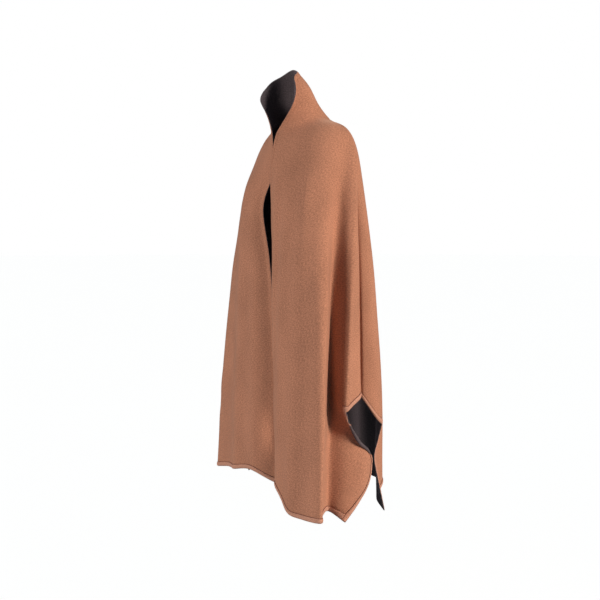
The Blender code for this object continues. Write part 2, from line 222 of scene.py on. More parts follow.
FOLD_COLUMNS = np.array([column_of(fold.name) for fold in LEFT_FOLDS])
LAPEL = column_of("lapel_ridge")
FRONT_PLEAT = column_of("front_pleat")
WRIST_FRONT = column_of("wrist_front")
OVERARM = column_of("overarm")
WRIST_BACK = column_of("wrist_back")
BACK_PLEAT = column_of("back_pleat")
CENTRE = column_of("centre_back")
NECK_ROW = ROWS.index(NECK_RING)
WRIST_ROW = ROWS.index(WRIST_RING)
LAST_ROW = len(ROWS) - 1


def smooth(t):
    """Eases from 0 to 1 with level ends, as a fold's flank does."""
    return 0.5 - 0.5 * np.cos(math.pi * np.clip(t, 0.0, 1.0))


def read_line(places, along, points):
    """The points of a line at the given places along it."""
    return np.stack([np.interp(places, along, points[:, axis]) for axis in range(3)], axis=1)


def unit(vectors):
    """The vectors at a length of 1. Those without a length stay nil."""
    return vectors / np.maximum(np.linalg.norm(vectors, axis=-1, keepdims=True), 1e-12)


def through(values, place):
    """A smooth curve through evenly spaced values, read at a place counted in values."""
    last = len(values) - 1
    i = min(max(int(math.floor(place)), 0), last - 1)
    t = place - i
    before = values[i - 1] if i > 0 else 2 * values[i] - values[i + 1]
    after = values[i + 2] if i + 2 <= last else 2 * values[i + 1] - values[i]
    here, there = values[i], values[i + 1]
    return 0.5 * (
        2 * here
        + (there - before) * t
        + (2 * before - 5 * here + 4 * there - after) * t * t
        + (3 * here - before - 3 * there + after) * t**3
    )


def ring_value(name, place):
    return through([getattr(ring, name) for ring in RINGS], place)


SQUARES = ("front_square", "back_square")


def ring_points(place, arounds, side):
    """Points of the bare ring, before the folds. Side is 'left' or 'right', both drawn at +X."""
    turn = 1 if side == "left" else -1
    edge = [turn * ring_value(side + "_x", place), ring_value(side + "_y", place)]
    edge.append(ring_value("edge_z", place))
    back = [0.0, ring_value("back_y", place), ring_value("back_z", place)]
    flank = [ring_value(name, place) for name in ("side_x", "side_y", "side_z")]
    angles = math.pi * np.asarray(arounds)
    front = angles <= math.pi / 2
    end = np.where(front[:, None], edge, back)
    power = 2 / np.where(front, *(ring_value(name, place) for name in SQUARES))
    across = np.abs(np.sin(angles)) ** power
    along = np.abs(np.cos(angles)) ** power
    x = end[:, 0] + (flank[0] - end[:, 0]) * across
    y = flank[1] + (end[:, 1] - flank[1]) * along
    rise = np.where(front, RIM_RISE + (2 - RIM_RISE) * min(place, 1), 2)
    z = end[:, 2] + (flank[2] - end[:, 2]) * np.sin(angles) ** rise
    return np.stack([x, y, z], axis=1)


def outward(place, arounds, side):
    """The level directions that point out of the ring."""
    step = 0.01
    ahead = ring_points(place, np.minimum(arounds + step, 1.0), side)
    behind = ring_points(place, np.maximum(arounds - step, 0.0), side)
    run = (ahead - behind)[:, :2]
    length = np.maximum(np.hypot(run[:, 0], run[:, 1]), 1e-9)
    return np.stack([run[:, 1] / length, -run[:, 0] / length, 0 * length], axis=1)


def side_edge_point(side, edge, place):
    """A point of the open side's edge, on a smooth curve through its rows."""
    rows = SIDE_EDGES[side]
    at = np.interp(place, [row.ring for row in rows], np.arange(len(rows)))
    return np.array([through([getattr(row, f"{edge}_{axis}") for row in rows], at) for axis in "xyz"])


def ring_state(place, point, side):
    """The (around, out, height) that brings a ring's point to the given one."""
    arounds = np.linspace(0.3, 0.9, 601)
    gap = point[:2] - ring_points(place, arounds, side)[:, :2]
    nearest = int(np.argmin(np.hypot(gap[:, 0], gap[:, 1])))
    out = outward(place, arounds[nearest : nearest + 1], side)[0, :2] @ gap[nearest]
    return np.array([arounds[nearest], out, point[2]])


def fold_state(fold, place, side):
    """The (around, out, height) of a fold line by its own row of the table."""
    drop = min(max((place - SHOULDER_RING) / (HEM_RING - SHOULDER_RING), 0.0), 1.0)
    around = fold.around_top + (fold.around_hem - fold.around_top) * drop**fold.fan
    bare = ring_points(place, [around], side)[0, 2]
    hem = ring_points(HEM_RING, [fold.around_hem], side)[0, 2]
    height = bare + (fold.hem_z - hem) * drop**HANG_POWER
    return np.array([around, fold.out * ring_value("folds", place), height])


def fold_states(place, side):
    """The state of every fold line. Those of the open side meet its edges at the wrist."""
    states = []
    for fold in FOLDS[side]:
        state = fold_state(fold, place, side)
        if fold.name in ("wrist_front", "wrist_back"):
            edge = fold.name.removeprefix("wrist_")
            if place >= WRIST_RING:
                state = ring_state(place, side_edge_point(side, edge, place), side)
            elif place > SHOULDER_RING:
                wrist = ring_state(WRIST_RING, side_edge_point(side, edge, WRIST_RING), side)
                share = (place - SHOULDER_RING) / (WRIST_RING - SHOULDER_RING)
                state += (wrist - fold_state(fold, WRIST_RING, side)) * share**2
        states.append(state)
    return np.array(states)


def folded_row(place, spots, side):
    """Points of one row, with its folds. A spot is counted in columns from the front edge."""
    states = fold_states(place, side)
    first = np.searchsorted(FOLD_COLUMNS, spots, side="right") - 1
    first = np.clip(first, 0, len(FOLD_COLUMNS) - 2)
    share = (spots - FOLD_COLUMNS[first]) / np.diff(FOLD_COLUMNS)[first]
    crisp = CRISP_SLOPE * np.array([fold.crisp for fold in FOLDS[side]])
    ease = share**2 * (3 - 2 * share) + crisp[first] * share * (1 - share) ** 2
    ease -= crisp[first + 1] * share**2 * (1 - share)
    before, after = states[first], states[first + 1]
    arounds = before[:, 0] + (after[:, 0] - before[:, 0]) * share
    out = before[:, 1] + (after[:, 1] - before[:, 1]) * ease
    points = ring_points(place, arounds, side) + outward(place, arounds, side) * out[:, None]
    lift = states[:, 2] - ring_points(place, states[:, 0], side)[:, 2]
    points[:, 2] += lift[first] * (1 - ease) + lift[first + 1] * ease
    return points


def lengths_along(points):
    return np.concatenate([[0.0], np.cumsum(np.linalg.norm(np.diff(points, axis=0), axis=1))])


def soft_row(place, side):
    """A fine row with its fold lines rounded: its spots, its lengths along and its points."""
    spots = np.linspace(0, CENTRE, CENTRE * 16 + 1)
    points = folded_row(place, spots, side)
    along = lengths_along(points)
    reach = np.minimum(FOLD_RADIUS, np.minimum(along, along[-1] - along))
    slack = FOLD_RADIUS * min(max((WRIST_RING - place) / CORNER_FADE, 0.0), 1.0)
    for column in (WRIST_FRONT, OVERARM, WRIST_BACK):
        corner = np.interp(column, spots, along)
        reach = np.minimum(reach, np.abs(along - corner) + slack)
    soft = np.zeros_like(points)
    for share, weight in ((-1, 1), (-0.5, 2), (0, 2), (0.5, 2), (1, 1)):
        soft += read_line(along + share * reach, along, points) * weight / 8
    return spots, lengths_along(soft), soft


def column_spots(place, spots, along):
    """Where each column lies on its row. Those beside an open edge leave the band its width."""
    columns = np.arange(CENTRE + 1.0)
    width = BAND_WIDTH / MM
    columns[1 : LAPEL + 1] = np.linspace(np.interp(width, along, spots), LAPEL, LAPEL)
    even = np.interp(np.linspace(width, along[-1], CENTRE), along, spots)
    share = smooth((YOKE_RING - place) / COLLAR_FADE)
    columns[1:] += (even - columns[1:]) * share
    share = smooth((place - WRIST_RING) / WRIST_FADE + 1)
    for edge, end in ((WRIST_FRONT, FRONT_PLEAT), (WRIST_BACK, BACK_PLEAT)):
        step = 1 if end > edge else -1
        start = np.interp(np.interp(edge, spots, along) + step * width, along, spots)
        for cell in range(1, abs(end - edge)):
            column = edge + step * cell
            spot = start + (end - start) * (cell - 1) / (abs(end - edge) - 1)
            columns[column] += (spot - columns[column]) * share
    return columns


def half_sheet(places, columns, side):
    """Points of one half of the sheet on the given rows and columns, in millimetres."""
    rows = []
    for place in places:
        spots, along, points = soft_row(place, side)
        own = column_spots(place, spots, along)
        rows.append(read_line(np.interp(columns, np.arange(CENTRE + 1), own), spots, points))
    return np.array(rows)


# Where the fine grid has lines across a band, as shares of its width, and beside a line of sewing,
# as distances from it in millimetres
BAND_STEPS = [0, 0.07, 0.2, 0.4, 0.6, 0.8, 0.93]
BESIDE_SEWING = [0, 0.6, 1.4, 2.5, 4.2, 6.8]
CELL = 4.6


def beside(length):
    """Steps that start close together at a line of sewing and widen to a cell."""
    steps = [step for step in BESIDE_SEWING if step < length - 1.5]
    count = max(int(math.ceil((length - steps[-1]) / CELL)), 1)
    steps += [steps[-1] + (length - steps[-1]) * k / count for k in range(1, count)]
    return np.array(steps) / length


def flipped(steps):
    """The same steps, close together at the far end instead of the near one."""
    return np.array([0.0] + [1 - step for step in reversed(steps[1:])])


def refined(lengths, after, before, bands):
    """Places of fine lines between whole-numbered ones, close together beside the named ones."""
    places = []
    for i, length in enumerate(lengths):
        if i in bands:
            steps = np.array(BAND_STEPS)
        elif i in after:
            steps = beside(length)
        elif i + 1 in before:
            steps = flipped(beside(length))
        else:
            count = max(int(math.ceil(length / CELL)), 1)
            steps = np.arange(count) / count
        places += list(i + steps)
    return np.array(places + [len(lengths)])


def rounded_line(points, radius):
    """The line with its corners rounded. Its ends stay where they are."""
    along = lengths_along(points)
    even = np.arange(0, along[-1], 1 * MM)
    line = read_line(even, along, points)
    offsets = np.arange(-3 * radius, 3 * radius + MM / 2, MM)
    weights = np.exp(-0.5 * (offsets / radius) ** 2)
    total = np.zeros_like(points)
    for offset, weight in zip(offsets, weights / weights.sum()):
        reach = np.clip(offset, -along, along[-1] - along)
        reach = np.sign(reach) * np.minimum(np.abs(reach), np.minimum(along, along[-1] - along))
        total += weight * read_line(along + reach, even, line)
    return total


def running_lengths(points, axis):
    """How far each point of a grid is from the first one, down its columns or along its rows."""
    steps = np.linalg.norm(np.diff(points, axis=axis), axis=2)
    return np.pad(np.cumsum(steps, axis=axis), ((1, 0), (0, 0)) if axis == 0 else ((0, 0), (1, 0)))


class Grid:
    """The fine draped sheet: its points, its cells, its flat coordinates and its normals.

    A column is counted from the left front edge, round the back, to the right front edge.
    """

    def __init__(self):
        lengths = self.control_lengths()
        self.half = refined(
            lengths[0],
            after=(1, OVERARM, WRIST_BACK + 1),
            before=(OVERARM, WRIST_FRONT - 1),
            bands=(0, WRIST_FRONT - 1, WRIST_BACK),
        )
        self.rows = refined(
            lengths[1],
            after=(1, NECK_ROW),
            before=(NECK_ROW, WRIST_ROW - 1, LAST_ROW - 1),
            bands=(0, WRIST_ROW - 1, LAST_ROW - 1),
        )
        self.places = np.interp(self.rows, np.arange(len(ROWS)), ROWS)
        left = half_sheet(self.places, self.half, "left") * MM
        right = half_sheet(self.places, self.half, "right") * [-1, 1, 1] * MM
        middle = 0.5 * (left[:, -1] + right[:, -1])
        middle[:, 0] = 0.0
        self.points = np.concatenate([left[:, :-1], middle[:, None], right[:, -2::-1]], axis=1)
        self.columns = np.concatenate([self.half, 2 * CENTRE - self.half[-2::-1]])
        self.cells = self.cell_mask()
        self.round_collar_tips()
        self.soften()
        self.flat = self.flat_coordinates()
        self.curl_side_edges()
        self.points += self.normals() * self.relief()[:, :, None]
        self.facing = self.normals()

    @staticmethod
    def control_lengths():
        """How far apart the sheet's own columns and rows are at most, in millimetres."""
        grid = half_sheet(ROWS, np.arange(CENTRE + 1), "left")
        across = np.linalg.norm(np.diff(grid, axis=1), axis=2)
        down = np.linalg.norm(np.diff(grid, axis=0), axis=2)
        return across[:-1].max(axis=0), down.max(axis=1)

    def near(self, columns):
        """Columns counted from the nearer front edge."""
        return np.minimum(columns, 2 * CENTRE - columns)

    def point_places(self):
        """The row of each point, and its column counted from the nearer front edge."""
        return self.rows[:, None], self.near(self.columns)[None, :]

    def cell_places(self):
        """The row and the column of the middle of each cell."""
        row = 0.5 * (self.rows[1:] + self.rows[:-1])[:, None]
        column = 0.5 * (self.columns[1:] + self.columns[:-1])[None, :]
        return np.broadcast_arrays(row, column)

    def cell_mask(self):
        row, column = self.cell_places()
        near = self.near(column)
        return ~((row > WRIST_ROW) & (near > WRIST_FRONT) & (near < WRIST_BACK))

    def round_collar_tips(self):
        """Rounds the two corners where the front edges run into the collar's top edge."""
        neck = int(np.where(self.rows == NECK_ROW)[0][0])
        count = len(self.half) // 3
        below_top = running_lengths(self.points, 0)
        for points, below in (
            (self.points, below_top), (self.points[:, ::-1], below_top[:, ::-1])
        ):
            from_edge = running_lengths(points, 1)
            edge = np.concatenate([points[neck:0:-1, 0], points[0, :count]])
            shift = rounded_line(edge, TIP_RADIUS) - edge
            by_edge = np.zeros((len(self.rows), 1, 3))
            by_edge[: neck + 1, 0] = shift[neck::-1]
            by_top = np.zeros((1, points.shape[1], 3))
            by_top[0, :count] = shift[neck:]
            fade_edge = np.exp(-((from_edge / TIP_REACH) ** 2))[:, :, None]
            fade_top = np.exp(-((below / TIP_REACH) ** 2))[:, :, None]
            pull_edge = 1 / (from_edge + 0.1 * MM)[:, :, None]
            pull_top = 1 / (below + 0.1 * MM)[:, :, None]
            mixed = by_edge * fade_edge * pull_edge + by_top * fade_top * pull_top
            points += mixed / (pull_edge + pull_top)

    def curl_side_edges(self):
        """Turns the front edge of each side opening outwards, between the wrist and the tuck."""
        share = (self.places - CURL_FIRST) / (CURL_LAST - CURL_FIRST)
        amount = np.sin(math.pi * np.clip(share, 0, 1)) ** 0.6
        normals = self.normals()
        flap = (self.columns > WRIST_FRONT - CURL_COLUMNS) & (self.columns <= WRIST_FRONT)
        flap = np.where(flap)[0]
        start = flap[0] - 1
        for points, facing in ((self.points, normals), (self.points[:, ::-1], normals[:, ::-1])):
            run = np.linalg.norm(np.diff(points[:, start : flap[-1] + 1], axis=1), axis=2)
            along = np.cumsum(run, axis=1) / run.sum(axis=1, keepdims=True)
            way = unit(points[:, flap[-1]] - points[:, start])
            out = facing[:, start]
            turn = CURL_TURN * np.clip((along - CURL_START) / (1 - CURL_START), 0, 1)
            reach = CURL_WIDTH * np.sin(turn) * np.where(turn < math.pi / 2, 1.0, 0.9)
            lift = CURL_LIFT * (1 - np.cos(np.minimum(turn, math.pi))) / 2
            for k, column in enumerate(flap):
                move = way * (reach[:, k] * amount)[:, None] + out * (lift[:, k] * amount)[:, None]
                points[:, column] += move

    def edge_counts(self):
        """How many cells each edge has, for the edges along the rows and those down the columns."""
        cells = self.cells.astype(int)
        along = np.pad(cells, ((1, 1), (0, 0)))
        down = np.pad(cells, ((0, 0), (1, 1)))
        return along[1:] + along[:-1], down[:, 1:] + down[:, :-1]

    def soften(self, passes=14):
        """Evens the sheet out. Points on an open edge move along it, and its corners stay."""
        along, down = self.edge_counts()
        runs = ((along, np.s_[:, :-1], np.s_[:, 1:]), (down, np.s_[:-1], np.s_[1:]))
        at_edge = np.zeros(self.points.shape[:2], bool)
        for count, first, second in runs:
            at_edge[first] |= count == 1
            at_edge[second] |= count == 1
        weight = np.zeros(at_edge.shape)
        links = []
        for count, first, second in runs:
            for here, there in ((first, second), (second, first)):
                use = np.where(at_edge[here], count == 1, count > 0).astype(float)
                links.append((here, there, use))
                weight[here] += use
        row, near = self.point_places()
        pinned = (row == WRIST_ROW) & np.isin(near, (WRIST_FRONT, OVERARM, WRIST_BACK))
        pinned |= (row == LAST_ROW) & np.isin(near, (WRIST_FRONT, WRIST_BACK))
        pinned[-1, [0, -1]] = True
        moving = (~pinned & (weight > 0))[:, :, None]
        for _ in range(passes):
            total = np.zeros_like(self.points)
            for here, there, use in links:
                total[here] += self.points[there] * use[:, :, None]
            mean = total / np.maximum(weight, 1)[:, :, None]
            self.points = np.where(moving, 0.5 * (self.points + mean), self.points)

    def flat_coordinates(self):
        """Where each point lies on the flat cloth, across and down, in metres."""
        middle = int(np.where(self.columns == CENTRE)[0][0])
        neck = int(np.where(self.rows == NECK_ROW)[0][0])
        across = running_lengths(self.points, 1)
        down = running_lengths(self.points, 0)
        down -= down[neck : neck + 1]
        from_back = across - across[:, middle : middle + 1]
        from_far = across[:, -1:] - across
        return {
            "left": np.stack([across, -down], axis=2),
            "right": np.stack([RIGHT_EDGE_AT - from_far, -down], axis=2),
            "back": np.stack([from_back, -down], axis=2),
        }

    def relief(self):
        """Slack in the cloth, as soft waves down it and across it, with the soft folds on top."""
        cloth = bpy.context.scene.cape_cloth
        rng = np.random.default_rng(7)
        u, v = self.flat["back"][:, :, 0], self.flat["back"][:, :, 1]
        wave = np.zeros(u.shape)
        for length, lean, height in WAVES_DOWN:
            for turn in (-1, 1):
                phase = rng.uniform(0, 2 * math.pi, 2)
                bend = BEND_DOWN[0] * np.sin(v / BEND_DOWN[1] + phase[0])
                wave += height * np.sin(2 * math.pi * (u + turn * lean * v + bend) / length + phase[1])
        for length, height in WAVES_ACROSS:
            phase = rng.uniform(0, 2 * math.pi, 2)
            bend = BEND_ACROSS[0] * np.sin(u / BEND_ACROSS[1] + phase[0])
            wave += height * np.sin(2 * math.pi * (v + bend) / length + phase[1])
        drop = np.clip((self.places - WAVES_FROM) / WAVES_FADE, WAVES_LEAST, 1.0)[:, None]
        return 0.5 * cloth.slack * wave * drop + self.soft_folds()

    def soft_folds(self):
        """The shallow rises and hollows between the folds, which fade in below the shoulders."""
        height = np.zeros(self.points.shape[:2])
        for fold in SOFT_FOLDS:
            half = self.columns <= CENTRE if fold.side == "left" else self.columns >= CENTRE
            columns = self.near(self.columns[half])
            order = np.argsort(columns)
            for row, place in enumerate(self.places):
                drop = np.clip((place - fold.first) / (HEM_RING - fold.first), 0, 1)
                column = fold.column_top + (fold.column_hem - fold.column_top) * drop
                across = self.flat["back"][row, half, 0] / MM
                away = across - np.interp(column, columns[order], across[order])
                rise = smooth((place - fold.first) / SOFT_FADE_IN)
                rise *= smooth((fold.last - place) / SOFT_FADE_OUT)
                height[row, half] += fold.height * rise * np.exp(-((away / fold.width) ** 2))
        return height * MM

    def normals(self):
        """The direction that the cloth's outer face has at each point."""
        a, b = self.points[:-1, :-1], self.points[:-1, 1:]
        c, d = self.points[1:, 1:], self.points[1:, :-1]
        area = -np.cross(c - a, d - b) * self.cells[:, :, None]
        total = np.zeros_like(self.points)
        for part in (np.s_[:-1, :-1], np.s_[:-1, 1:], np.s_[1:, 1:], np.s_[1:, :-1]):
            total[part] += area
        return unit(total)

    def panel(self, name):
        """The cells of a panel. The fronts carry the collar round to the centre back."""
        row, column = self.cell_places()
        front = (row < NECK_ROW) | (self.near(column) < OVERARM)
        side = column < CENTRE if name == "left_front" else column > CENTRE
        return self.cells & (~front if name == "back" else front & side)

    def band(self, name):
        """The cells of a turned and stitched edge."""
        row, column = self.cell_places()
        near = self.near(column)
        side = column > CENTRE if name.endswith("right") else column < CENTRE
        front = (near < 1) | (row < 1)
        over = (row > WRIST_ROW - 1) & (near > WRIST_FRONT - 1) & (near < WRIST_BACK + 1)
        flanks = ((near > WRIST_FRONT - 1) & (near < WRIST_FRONT)) | (
            (near > WRIST_BACK) & (near < WRIST_BACK + 1)
        )
        opening = over & (row < WRIST_ROW) | (row > WRIST_ROW) & flanks
        hem = (row > LAST_ROW - 1) & ~opening & ~front
        if name.startswith("front_band"):
            return self.cells & front & side
        if name.startswith("side_band"):
            return self.cells & opening & ~front & side
        if name == "hem_band_back":
            return self.cells & hem & (near > OVERARM)
        return self.cells & hem & (near < OVERARM) & side


def border(cells):
    """The directed edges round the cells, as pairs of point numbers of the whole grid."""
    inside = np.pad(cells, 1)
    columns = cells.shape[1] + 1
    row, column = np.meshgrid(np.arange(cells.shape[0]), np.arange(cells.shape[1]), indexing="ij")
    corner = row * columns + column
    edges = []
    for neighbour, first, second in (
        (inside[:-2, 1:-1], 0, 1),
        (inside[1:-1, 2:], 1, columns + 1),
        (inside[2:, 1:-1], columns + 1, columns),
        (inside[1:-1, :-2], columns, 0),
    ):
        use = cells & ~neighbour
        edges.append(np.stack([corner[use] + first, corner[use] + second], axis=1))
    return np.concatenate(edges)


def border_directions(grid, edges):
    """Which way is out of the cloth, along it, at each point that the edges touch."""
    points = grid.points.reshape(-1, 3)
    facing = grid.facing.reshape(-1, 3)
    way = np.zeros_like(points)
    run = points[edges[:, 1]] - points[edges[:, 0]]
    for end in (edges[:, 0], edges[:, 1]):
        np.add.at(way, end, np.cross(facing[end], run))
    return unit(way)


def new_piece(name, verts, faces, materials, face_materials=None, flat=None):
    """A smooth mesh piece. Flat gives the point of the flat cloth under each vertex."""
    mesh = bpy.data.meshes.new(name)
    mesh.from_pydata(verts.tolist(), [], faces)
    for material in materials:
        mesh.materials.append(material)
    if face_materials is not None:
        mesh.polygons.foreach_set("material_index", np.asarray(face_materials, np.int32))
    if flat is not None:
        layer = mesh.uv_layers.new(name="cloth")
        corners = np.zeros(len(mesh.loops), np.int32)
        mesh.loops.foreach_get("vertex_index", corners)
        layer.data.foreach_set("uv", np.asarray(flat)[corners].ravel())
    mesh.shade_smooth()
    piece = bpy.data.objects.new(name, mesh)
    bpy.context.scene.collection.objects.link(piece)
    return piece


# The lines along a rounded rim, in degrees from the middle of the wall, and the share of a band's
# width over which its borders are round
RIM_ANGLES = (50, 0, -50)
ROUND_BORDER = 0.16


def cloth_wall(grid, name, cells, outer, inner, materials, round_rim, laid):
    """A closed wall on some of the grid's cells, between two offsets from the sheet.

    Laid names the flat coordinates that it takes. Its edges that meet another panel stand back
    from the seam. Its open edges are rounded, with the outer face's material on the first part of
    the rim and the inner face's on the rest.
    """
    columns = grid.points.shape[1]
    edges = border(cells)
    points, facing = grid.points.reshape(-1, 3), grid.facing.reshape(-1, 3)
    code = np.array([len(points), 1])
    is_open = np.isin(edges @ code, border(grid.cells) @ code)
    seam_way = border_directions(grid, edges[~is_open])
    points = points - seam_way * SEAM_SETBACK
    row, column = np.where(cells)
    a = row * columns + column
    quads = np.stack([a, a + columns, a + columns + 1, a + 1], axis=1)
    used = np.unique(quads)
    at = np.full(points.shape[0], -1)
    at[used] = np.arange(len(used))
    count = len(used)
    outer, inner = outer.reshape(-1, 1), inner.reshape(-1, 1)
    verts = [(points + facing * outer)[used], (points + facing * inner)[used]]
    laid_flat = grid.flat[laid].reshape(-1, 2)
    flat = [laid_flat[used]] * 2
    faces = [at[quads], (at[quads] + count)[:, ::-1]]
    slots = [np.zeros(len(quads)), np.ones(len(quads))]
    total = 2 * count
    for group, rounded in ((edges[is_open], round_rim), (edges[~is_open], False)):
        if not len(group):
            continue
        first, second = at[group[:, 0]], at[group[:, 1]]
        rings = [(first, second)]
        if rounded:
            rim = np.unique(group)
            way = border_directions(grid, edges[is_open])[rim]
            middle = 0.5 * (outer + inner)[rim]
            radius = 0.5 * (outer - inner)[rim]
            place = np.full(points.shape[0], -1)
            for angle in RIM_ANGLES:
                turn = math.radians(angle)
                place[rim] = total + np.arange(len(rim))
                total += len(rim)
                verts.append(
                    points[rim]
                    + facing[rim] * (middle + radius * math.sin(turn))
                    + way * radius * math.cos(turn)
                )
                flat.append(laid_flat[rim])
                rings.append((place[group[:, 0]].copy(), place[group[:, 1]].copy()))
        rings.append((first + count, second + count))
        for k, (near, far) in enumerate(zip(rings, rings[1:])):
            faces.append(np.stack([near[0], near[1], far[1], far[0]], axis=1))
            slots.append(np.full(len(group), 0 if k == 0 else 1))
    faces = np.concatenate(faces)
    return new_piece(
        name, np.concatenate(verts), faces.tolist(), materials, np.concatenate(slots),
        np.concatenate(flat),
    )


def band_share(grid, kind):
    """How far each point lies across a band, from 0 at the open edge to 1 at its inner border."""
    row, near = np.broadcast_arrays(*grid.point_places())
    if kind == "front":
        share = np.minimum(near, row)
    elif kind == "hem":
        share = LAST_ROW - row
    else:
        aside = np.maximum(WRIST_FRONT - near, near - WRIST_BACK)
        share = np.maximum(np.maximum(aside, 0), np.maximum(WRIST_ROW - row, 0))
    return np.clip(share, 0.0, 1.0)


def padded_profile(share):
    """The height of a turned edge across its width, round at both borders and fullest between."""
    inward = np.clip(np.minimum(share, 1 - share) / ROUND_BORDER, 0, 1)
    return np.sqrt(1 - (1 - inward) ** 2) * (0.8 + 0.2 * np.sin(math.pi * share))


class Wire:
    """A shader value. Arithmetic on it adds Math nodes."""

    def __init__(self, shader, socket):
        self.shader = shader
        self.socket = socket

    def math(self, operation, *values):
        inputs = dict(enumerate((self, *values)))
        return self.shader.add("ShaderNodeMath", {"operation": operation}, inputs)

    def __add__(self, other):
        return self.math("ADD", other)

    __radd__ = __add__

    def __sub__(self, other):
        return self.math("SUBTRACT", other)

    def __rsub__(self, other):
        return self.shader.add("ShaderNodeMath", {"operation": "SUBTRACT"}, {0: other, 1: self})

    def __mul__(self, other):
        return self.math("MULTIPLY", other)

    __rmul__ = __mul__

    def clamped(self):
        return self.math("MAXIMUM", 0.0).math("MINIMUM", 1.0)


class Shader:
    """A material's node tree, with one method that adds any node."""

    def __init__(self, name):
        self.material = bpy.data.materials.new(name)
        self.material.use_nodes = True
        self.tree = self.material.node_tree
        self.surface = self.tree.nodes["Principled BSDF"]

    def add(self, kind, settings=None, inputs=None, output=0):
        node = self.tree.nodes.new(kind)
        for key, value in (settings or {}).items():
            setattr(node, key, value)
        for key, value in (inputs or {}).items():
            self.put(node.inputs[key], value)
        return Wire(self, node.outputs[output])

    def put(self, socket, value):
        if isinstance(value, Wire):
            self.tree.links.new(value.socket, socket)
        else:
            socket.default_value = value

    def flat_cloth(self, scale):
        """Coordinates on the flat cloth, with so many units to the metre across and down."""
        place = self.add("ShaderNodeUVMap", {"uv_map": "cloth"})
        return self.add("ShaderNodeVectorMath", {"operation": "MULTIPLY"}, {0: place, 1: scale})

    def noise(self, place, detail=2.0, roughness=0.5):
        inputs = {"Vector": place, "Scale": 1.0, "Detail": detail, "Roughness": roughness}
        return self.add("ShaderNodeTexNoise", {"noise_dimensions": "2D"}, inputs)

    def mixed(self, factor, first, second):
        settings = {"data_type": "RGBA", "clamp_factor": True}
        return self.add("ShaderNodeMix", settings, {0: factor, 6: first, 7: second}, output=2)

    def finish(self, **surface):
        for key, value in surface.items():
            self.put(self.surface.inputs[key.replace("_", " ")], value)
        return self.material


def scaled(colour, factor):
    return (*(min(value * factor, 1.0) for value in colour), 1.0)


def wool(name, colour, contrast, nap, roughness, sheen, sheen_colour):
    """Brushed wool cloth: flecks that run across it, single fibres, cloudy dye and a soft nap."""
    shader = Shader(name)
    sway = shader.noise(shader.flat_cloth((30.0, 30.0, 0.0)), detail=1.0)
    across = shader.flat_cloth((230.0, 430.0, 0.0))
    bent = shader.add("ShaderNodeCombineXYZ", inputs={"Y": sway * 2.0})
    lifted = shader.add("ShaderNodeVectorMath", {"operation": "ADD"}, {0: across, 1: bent})
    flecks = shader.noise(lifted, detail=2.5, roughness=0.6)
    fibres = shader.noise(shader.flat_cloth((900.0, 1200.0, 0.0)), detail=2.0, roughness=0.7)
    clouds = shader.noise(shader.flat_cloth((16.0, 11.0, 0.0)), detail=2.0)
    tone = (flecks - 0.5) * 2.2 + (fibres - 0.5) * 1.8 + (clouds - 0.5) * 0.5 + 0.5
    base = shader.mixed(tone.clamped(), scaled(colour, 1 - contrast), scaled(colour, 1 + contrast))
    height = flecks * 0.6 + fibres * 0.4 + clouds * 0.3
    bump = shader.add("ShaderNodeBump", inputs={"Strength": nap, "Distance": 0.001, "Height": height})
    return shader.finish(
        Base_Color=base,
        Roughness=(roughness + (fibres - 0.5) * 0.12).clamped(),
        Normal=bump,
        Sheen_Weight=sheen,
        Sheen_Roughness=0.45,
        Sheen_Tint=(*sheen_colour, 1.0),
        Specular_IOR_Level=0.2,
    )


def sewing_thread(name, colour):
    """Twisted polyester thread, with a ply that winds round it."""
    shader = Shader(name)
    place = shader.add("ShaderNodeTexCoord", output=3)
    strands = shader.add(
        "ShaderNodeTexNoise", None, {"Vector": place, "Scale": 2400.0, "Detail": 1.0, "Roughness": 0.5}
    )
    base = shader.mixed(strands, scaled(colour, 0.6), scaled(colour, 1.4))
    bump = shader.add("ShaderNodeBump", inputs={"Strength": 0.4, "Distance": 0.0002, "Height": strands})
    return shader.finish(Base_Color=base, Roughness=0.75, Normal=bump)


def studio_paint(name, colour, glow):
    """Matt floor paint with a faint unevenness, which glows so that the floor stays pale."""
    shader = Shader(name)
    place = shader.add("ShaderNodeTexCoord", output=3)
    patches = shader.add("ShaderNodeTexNoise", None, {"Vector": place, "Scale": 0.7, "Detail": 3.0})
    base = shader.mixed(patches, scaled(colour, 0.985), scaled(colour, 1.0))
    return shader.finish(
        Base_Color=base, Roughness=0.9, Specular_IOR_Level=0.1, Emission_Color=(1.0, 1.0, 1.0, 1.0),
        Emission_Strength=glow,
    )


PANELS = ("left_front", "right_front", "back")

# The turned edges: each one's kind and the panel that it is sewn to
BANDS = {
    "front_band_left": ("front", "left_front"),
    "front_band_right": ("front", "right_front"),
    "side_band_left": ("side", "back"),
    "side_band_right": ("side", "back"),
    "hem_band_left": ("hem", "left_front"),
    "hem_band_right": ("hem", "right_front"),
    "hem_band_back": ("hem", "back"),
}

# Which of the sheet's flat coordinates each panel takes, and how full each kind of edge is
FLAT_SIDES = {"left_front": "left", "right_front": "right", "back": "back"}
BAND_CROWN = {"front": 0.45, "side": 1.0, "hem": 1.0}

# The lines of top-stitching, each through points (row, column from the nearer front edge)
STITCH_ROW = LAST_ROW - 1
STITCHING = {
    "stitches_front": [
        (STITCH_ROW, 1), (STITCH_ROW, WRIST_FRONT - 1), (WRIST_ROW - 1, WRIST_FRONT - 1),
        (WRIST_ROW - 1, OVERARM),
    ],
    "stitches_back": [
        (STITCH_ROW, CENTRE), (STITCH_ROW, WRIST_BACK + 1), (WRIST_ROW - 1, WRIST_BACK + 1),
        (WRIST_ROW - 1, OVERARM),
    ],
}

# The share of the spacing that a stitch covers, and how many of its radii it stands up
STITCH_SHARE = 0.82
STITCH_LIFT = 0.3


